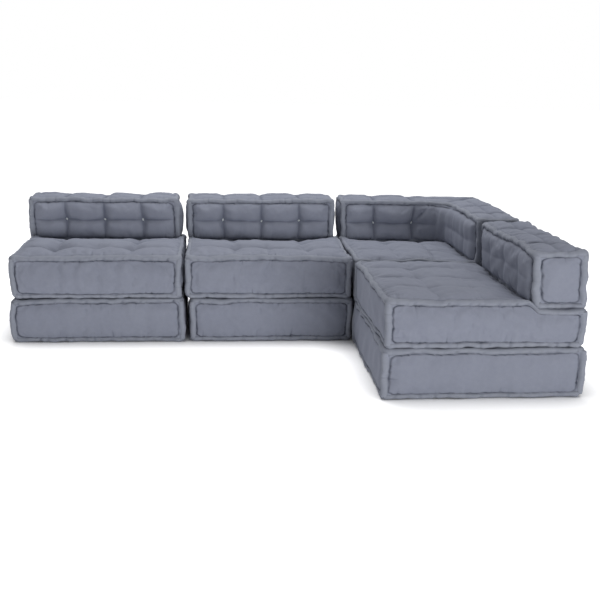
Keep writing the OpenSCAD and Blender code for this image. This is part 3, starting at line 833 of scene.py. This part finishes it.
def corner_inner_form(s, z):
    """The side arm's ties are slack here, and a crease climbs from the second tie."""
    made, lines, pits = corner_face_form(s, z, INNER_Z, (1.0, 1.0, 0.15, 0.1))
    along = 0.62 * (s - ARM_MARKS[1]) + 0.78 * (z - INNER_Z)
    across = 0.78 * (s - ARM_MARKS[1]) - 0.62 * (z - INNER_Z)
    climb = crease(across, 0.010) * eased(along, -0.005, 0.012) * (1 - eased(along, 0.07, 0.125))
    filled = 0.024 * np.exp(-((s - CORNER_W / 2) / 0.13) ** 2) * np.sin(math.pi * z / BACK_H) ** 0.5
    return made + filled - 0.012 * climb, np.maximum(lines, 0.8 * climb), pits


def corner_crest_form(s, y):
    return crest(s, y, CORNER_W, sorted(corner_marks + [CORNER_W / 2]))


def turned(points):
    """Bends a straight cushion into the L: inner face round, outer face square."""
    s, q, z = points.T
    angle = np.clip((s - ARM) / BEND, 0, 1) * math.pi / 2
    square = (BEND_R + BACK_T) / np.maximum(np.cos(angle), np.sin(angle))
    reach = BEND_R + q + (square - BEND_R - BACK_T) * eased(q, 0.02, BACK_T)
    along, down, depth = s < ARM, s > ARM + BEND, BACK_W - BACK_T + q
    x = np.where(along, s, np.where(down, depth, ARM + reach * np.sin(angle)))
    y = np.where(along, depth, np.where(down, CORNER_W - s, ARM + reach * np.cos(angle)))
    return np.column_stack([x, y, z])


def calm_in_turn(rest):
    """The inner face of the turn and the side arm is stretched smooth."""
    past = rest[:, 0] - CORNER_W / 2
    bend = np.where(past > 0, 1, np.exp(-(past / 0.13) ** 4))
    return 1 - 0.9 * bend * (1 - rest[:, 1] / BACK_T)


def corner_head(points):
    x, y = points[:, 0], points[:, 1]
    to_x, to_y = (np.abs(way[:, None] - np.array(ARM_MARKS)).min(axis=1) for way in (x, y))
    return drawn_head(points, np.where(x < ARM, to_x, np.where(y < ARM, to_y, 1)))


cover = grid_block("corner_back_cushion", cells=(144, 22, 26))
shaped = cover_shape(cover, flat_size, corner_crest_form, corner_inner_form, corner_face_form,
                     bulge=END_BULGE, under=UNDER_BACK)
points = calmed(cover, shaped, blown(cover, shaped, flat_size, cap=0.006), calm_in_turn)
points[:, 2] = np.maximum(points[:, 2], CLEAR)
move_points(cover, points)
points = turned(sagged(finish_cover(cover, flat_size, 130, 0.0010, turned, calm_in_turn)))
targets = [(s, y, z) for s in corner_marks
           for y, z in ((AXIS_IN, INNER_Z), (BACK_T - AXIS_IN, BACK_H / 2))]
lay_cover(cover, points, "corner", "back", targets, BOTH_WAYS * 2 + [(-1, 0, 0), (1, 0, 0)] * 2)


# Edge rolls
# Every edge of every cushion is a stuffed roll: the cover's margin is packed with cotton and sewn
# through by hand every few centimetres, which pinches it into a row of small lumps.
ROLL_R = 0.014
ROUND = 12  # points round a roll
STEPS = 8  # cross-sections from stitch to stitch
PINCH, LUMP, LUMP_R = 0.24, 0.28, 0.024  # shares of its girth that a stitch takes, a post adds
CORNER_R = 0.007  # how tightly a roll turns a corner
SOFT_R = 0.03  # how it turns at the slope under a back cushion
BOX_POSTS = [(0, 0), (1, 1), (2, 2), (3, 3)]  # each upright roll's corners in foot and head ring
LUMPY = {"left": 1.15, "middle": 1.0, "corner": 1.1, "right": 1.2}
# The same canvas for the rolls, a shade darker, with darker painted shade in its folds
roll_canvas = washed_cotton("washed slate cotton, drawn tight over rolls", ("#7a7e8b", "#81858f"),
                             "#8f939e", "#4c515f")
parts["rolls"] = ("cotton_roll", roll_canvas, "rolls")


def filleted(corners, radii):
    """A closed path through corners, each rounded to its radius."""
    path = []
    for i, (corner, radius) in enumerate(zip(corners, radii)):
        back, on = unit(corners[i - 1] - corner), unit(corners[(i + 1) % len(corners)] - corner)
        half = math.acos(np.clip(back @ on, -1, 1)) / 2
        centre = corner + unit(back + on) * radius / math.sin(half)
        first = corner + back * radius / math.tan(half) - centre
        last = corner + on * radius / math.tan(half) - centre
        sweep = math.pi - 2 * half
        for t in np.linspace(0, 1, 9):
            path.append(centre + (math.sin((1 - t) * sweep) * first + math.sin(t * sweep) * last)
                        / math.sin(sweep))
    return np.array(path + [path[0]])


def plain_tube(count, closed):
    """A ring or tube, and each point's share of the length, angle and radius."""
    if closed:
        tube = new(bpy.ops.mesh.primitive_torus_add, major_segments=count, minor_segments=ROUND,
                   major_radius=1, minor_radius=0.1)
        x, y, z = mesh_points(tube).T
        return (tube, (np.arctan2(y, x) / (2 * math.pi)) % 1, np.arctan2(z, np.hypot(x, y) - 1),
                np.ones(len(x)))
    tube = new(bpy.ops.mesh.primitive_cylinder_add, vertices=ROUND, radius=1, depth=1,
               end_fill_type="TRIFAN")
    cut_along(tube, 2, count)
    x, y, z = mesh_points(tube).T
    return tube, np.clip(z + 0.5, 0, 1), np.arctan2(y, x), np.hypot(x, y)


def laid_roll(path, closed, outward, lumps, key, lumpy, crown):
    """A roll along a path, pinched by its stitches and lumpy at its corners."""
    steps = np.concatenate([[0], np.cumsum(np.linalg.norm(np.diff(path, axis=0), axis=1))])
    length = steps[-1]
    tube, share, round_angle, radius = plain_tube(round(length / PITCH) * STEPS, closed)

    def at(share):
        return np.column_stack([np.interp(share * length, steps, path[:, k]) for k in range(3)])
    nudge = 0.003 / length
    if closed:
        ahead = unit(at((share + nudge) % 1) - at((share - nudge) % 1))
        out = unit(np.cross(ahead, [0, 0, 1]))
    else:
        ahead = np.tile((path[1] - path[0]) / length, (len(share), 1))
        out = np.tile([[0.0, -1.0, 0.0]], (len(share), 1))
    over = np.cross(out, ahead)
    centre = at(share)
    pull, strength = stitches(centre, key)
    if not closed:
        pull *= 0.5
    elif outward[2] > 0:
        pull *= 1 - (1 - crown) * eased(np.sin(round_angle), -0.15, 0.6)
    girth = ROLL_R * (1.03 - PINCH * lumpy * pull * strength) * (1 if closed else 1.12)
    girth *= 1 + 0.04 * np.cos(round_angle * 2 + key + 90 * strength) * (1 - pull)
    for lump in lumps:
        girth *= 1 + LUMP * np.exp(-(np.linalg.norm(centre - lump, axis=1) / LUMP_R) ** 2)
    girth[radius < NEAR] = 0
    for way, seed in ((out, key + 50), (over, key + 51)):
        centre = centre + way * ripples(at(share), seed, 0.16, 0.06, 0.0011 * lumpy, 6)[:, None]
    ray = out * np.cos(round_angle)[:, None] + over * np.sin(round_angle)[:, None]
    move_points(tube, centre + ray * girth[:, None])
    # Painted shade: the dark line of the seam lies along the roll's inner side, and hardly shows on a
    # top; each stitch's pinch is painted darker too
    facing = unit(outward + (out if closed else 0))
    away = np.maximum((ray * facing).sum(axis=1), 0)
    above = centre[:, 2] > path[:, 2].min() + 0.1 * (not closed)
    on_top = (ray[:, 2] > 0.5) & above & (facing[..., 2] > 0)
    line = np.exp(-(away / 0.22) ** 2) * np.where(on_top, 0.1, 1) * closed
    remember(tube, "seam", np.maximum(line, 0.4 * strength * pull ** 3))
    return tube


def joined(pieces, name):
    only(pieces[0])
    for piece in pieces:
        piece.select_set(True)
    bpy.ops.object.join()
    whole = bpy.context.object
    whole.name = whole.data.name = name
    mode("EDIT")
    bpy.ops.mesh.select_all(action="SELECT")
    bpy.ops.mesh.normals_make_consistent(inside=False)
    mode("OBJECT")
    return whole


def lay_rolls(place, level, rings, radii, posts, key, lumpy, crown=0.2):
    """Rolls round foot and head and up the corners; crown is how far a top is pinched."""
    rings = [np.array(ring, dtype=float) for ring in rings]
    rolls = []
    for k, upward in enumerate((-1.0, 1.0)):
        lumps = [rings[k][pair[k]] for pair in posts]
        rolls.append(laid_roll(filleted(rings[k], radii[k]), True, np.array([0, 0, upward]), lumps,
                               key, lumpy, crown))
    for foot, head in posts:
        corner = rings[0][foot]
        outward = unit(corner - rings[0][foot - 1]) \
            + unit(corner - rings[0][(foot + 1) % len(rings[0])])
        post = np.array([corner, rings[1][head]])
        rolls.append(laid_roll(post, False, outward, [], key, lumpy, crown))
    whole = joined(rolls, f"{place}_{level}_edge_rolls")
    lay(whole, mesh_points(whole), place, level, "rolls")


def two_rings(plan, height):
    return [[(*corner, z) for corner in plan] for z in (AXIS_IN, height - AXIS_IN)]


def box_rings(width, depth, height):
    x, y = width - AXIS_IN, depth - AXIS_IN
    return two_rings([(AXIS_IN, AXIS_IN), (x, AXIS_IN), (x, y), (AXIS_IN, y)], height)


for turn, place in enumerate(PLACES):
    tight = [CORNER_R] * 4
    lay_rolls(place, "base", box_rings(*base_size), [tight] * 2, BOX_POSTS, 100 + turn, LUMPY[place])

    foot_ring = box_rings(*seat_size)[0]
    near, far, high, low = AXIS_IN, PLACE - AXIS_IN, SEAT_H - AXIS_IN, SEAT_H - AXIS_IN - SINK
    rear = [(far, far, low), (near, far, low), (near, SLOPE_FOOT, low), (near, SLOPE_TOP, high)]
    if place == "corner":  # pressed down along its rear and its right side
        front = [(SLOPE_TOP, near, high), (SLOPE_FOOT, near, low), (far, near, low)]
    else:
        front = [(far, near, high), (far, SLOPE_TOP, high), (far, SLOPE_FOOT, low)]
    head_ring = [(near, near, high), *front, *rear]
    posts = [(0, 0), (1, 3 if place == "corner" else 1), (2, 4), (3, 5)]
    radii = [SOFT_R if {SLOPE_TOP, SLOPE_FOOT} & {*corner} else CORNER_R for corner in head_ring]
    lay_rolls(place, "seat", [foot_ring, head_ring], [tight, radii], posts, 110 + turn, LUMPY[place])

    if place == "corner":
        inner, outer = BACK_W - BACK_T + AXIS_IN, BACK_W - AXIS_IN
        plan = [(AXIS_IN, inner), (inner, inner), (inner, AXIS_IN),
                (outer, AXIS_IN), (outer, outer), (AXIS_IN, outer)]
        radii = [CORNER_R, BEND_R + AXIS_IN] + tight
        lay_rolls(place, "back", two_rings(plan, BACK_H), [radii] * 2,
                  [(k, k) for k in (0, 2, 3, 4, 5)], 130, LUMPY[place], crown=0.7)
    else:
        lay_rolls(place, "back", box_rings(*back_size), [tight] * 2, BOX_POSTS, 120 + turn,
                  LUMPY[place] * 1.15, crown=0.7)


# Tufts
# Waxed cotton twine drawn through the cushion with a long needle and knotted off: what shows is a
# pale flat knot at the bottom of each dent, with two short tails.
KNOT_R = 0.0058
TAIL, TAIL_R = 0.014, 0.0013

twine, tree = empty_tree(bpy.data.materials, "waxed cotton twine, knotted")
# Laid strands, about 1 mm, give the twine a faint spiral; wax makes it a little brighter than cloth
strand = add(tree, "TexWave", {"Vector": add(tree, "TexCoord").outputs["Object"], "Scale": 160.0,
                               "Distortion": 2.0}, bands_direction="DIAGONAL").outputs["Fac"]
shade = add(tree, "Mix", {0: strand, 6: linear("#a0a6aa"), 7: linear("#c4c8c6")}, data_type="RGBA")
lie = add(tree, "Bump", {"Height": strand, "Strength": 0.5, "Distance": 0.0004})
feed(tree.nodes["Principled BSDF"], {"Base Color": shade.outputs[2], "Normal": lie, "Roughness": 0.6})
parts["tufts"] = ("waxed_twine", twine, "tufts")

bits = [new(bpy.ops.mesh.primitive_ico_sphere_add, subdivisions=2, radius=KNOT_R)]
mode("EDIT")
bpy.ops.transform.resize(value=(1.15, 0.85, 0.6))
mode("OBJECT")
for side, slant in ((-1, 0.5), (1, 0.9)):
    tail = new(bpy.ops.mesh.primitive_cylinder_add, vertices=6, radius=TAIL_R, depth=TAIL)
    x, y, z = mesh_points(tail).T
    reach = z + TAIL / 2
    move_points(tail, np.column_stack([side * (0.003 + reach * math.cos(slant)),
                                       y + reach * slant * 0.5, x + 0.001]))
    bits.append(tail)
knot = joined(bits, "knot")
knot_points = mesh_points(knot)


def tufts_of(name, spots, depth, seed):
    """Knots at (point, way out) spots, drawn in to one depth or one each."""
    rng = np.random.default_rng(seed)
    tufts = []
    for (point, out), depth in zip(spots, np.broadcast_to(depth, len(spots))):
        out = np.array(out, dtype=float)
        side = unit(np.cross(out, [0.3, 0.2, 0.9] if abs(out[2]) < 0.5 else [0, 1, 0]))
        angle = rng.uniform(0, 2 * math.pi)
        first = side * math.cos(angle) + np.cross(out, side) * math.sin(angle)
        tuft = copied(knot, "tuft")
        ways = np.array([first, np.cross(out, first), out])
        move_points(tuft, point - out * depth + knot_points @ ways)
        tufts.append(tuft)
    return joined(tufts, name)


# How deep the backs' knots sink: out of sight in soft folds where the ties are slack
SLACK_TIES = {"right": 0.004, "corner": [-0.001] * 4 + [0.004] * 4}
for turn, place in enumerate(PLACES):
    for level, depth, seed in (("base", 0.002, 200), ("seat", 0.003, 210),
                               ("back", SLACK_TIES.get(place, -0.001), 220)):
        tufts = tufts_of(f"{place}_{level}_ties", ties[place, level], depth, seed + turn)
        points = mesh_points(tufts)
        if level == "seat":  # pressed flat under the back cushion
            under_back = seat_shapes(place)[0](points[:, 0], points[:, 1]) > SUNK
            points[:, 2] = np.where(under_back, np.minimum(points[:, 2], SEAT_H - SINK), points[:, 2])
        lay(tufts, points, place, level, "tufts")
bpy.data.objects.remove(knot)


# Floor, light and view
# A seamless white sweep under soft studio light. To the camera it glows white; the glow is dimmed by
# a painted shadow where the cushions stand close over it, over the real soft shadow; it also glows
# faintly to the scene and lights the cushions' fronts from below.
def seen_directly(tree):
    """1 for rays from the camera or by a mirror or glass, 0 for the rays that carry light."""
    rays = add(tree, "LightPath").outputs
    seen = rays["Is Camera Ray"]
    for kind in ("Is Glossy Ray", "Is Transmission Ray"):
        seen = add(tree, "Math", {0: seen, 1: rays[kind]}, operation="MAXIMUM")
    return seen


floor = new(bpy.ops.mesh.primitive_plane_add, size=60, location=(0, 0, -0.0005))
floor.name = "floor"
sweep, tree = empty_tree(bpy.data.materials, "white studio sweep")
tree.nodes.clear()
matt = add(tree, "BsdfDiffuse", {"Color": linear("#eeeef0")})
# Glowing sweep: full white in the open; ambient occlusion dims the glow, a painted shadow where the
# cushions stand close over it
unoccluded = add(tree, "AmbientOcclusion", {"Distance": 0.22}, samples=12)
unoccluded = add(tree, "MapRange", {"Value": unoccluded.outputs["AO"], "From Min": 0.32, "From Max": 0.98,
                              "To Max": 0.88})
lift = add(tree, "MapRange", {"Value": seen_directly(tree), "To Min": 0.24, "To Max": 1.0})
lift = add(tree, "Math", {0: lift, 1: unoccluded}, operation="MULTIPLY")
glow = add(tree, "Emission", {"Color": (1, 1, 1, 1), "Strength": lift})
add(tree, "OutputMaterial", {"Surface": add(tree, "AddShader", {0: matt, 1: glow})})
floor.data.materials.append(sweep)

scene.world, tree = empty_tree(bpy.data.worlds, "studio")
tree.nodes.clear()
strength = add(tree, "MapRange", {"Value": seen_directly(tree), "To Min": 0.285, "To Max": 1.0})
light = add(tree, "Background", {"Color": (1, 1, 1, 1), "Strength": strength})
add(tree, "OutputWorld", {"Surface": light})


def soft_box(name, place, aim, size, power):
    lamp = new(bpy.ops.object.light_add, type="AREA", location=place)
    lamp.name = name
    lamp.data.shape = "RECTANGLE"
    lamp.data.size, lamp.data.size_y = size
    lamp.data.energy = power
    lamp.rotation_mode = "QUATERNION"
    lamp.rotation_quaternion = (Vector(aim) - Vector(place)).to_track_quat("-Z", "Y")


soft_box("overhead soft box", (-0.2, 1.3, 3.4), aim=(-0.2, 0.3, 0.3), size=(3.8, 2.2), power=99)
soft_box("front soft box", (2.9, -8.8, 0.7), aim=(0.2, 0.0, 0.2), size=(4.0, 1.6), power=500)

scene.view_settings.view_transform = "Standard"
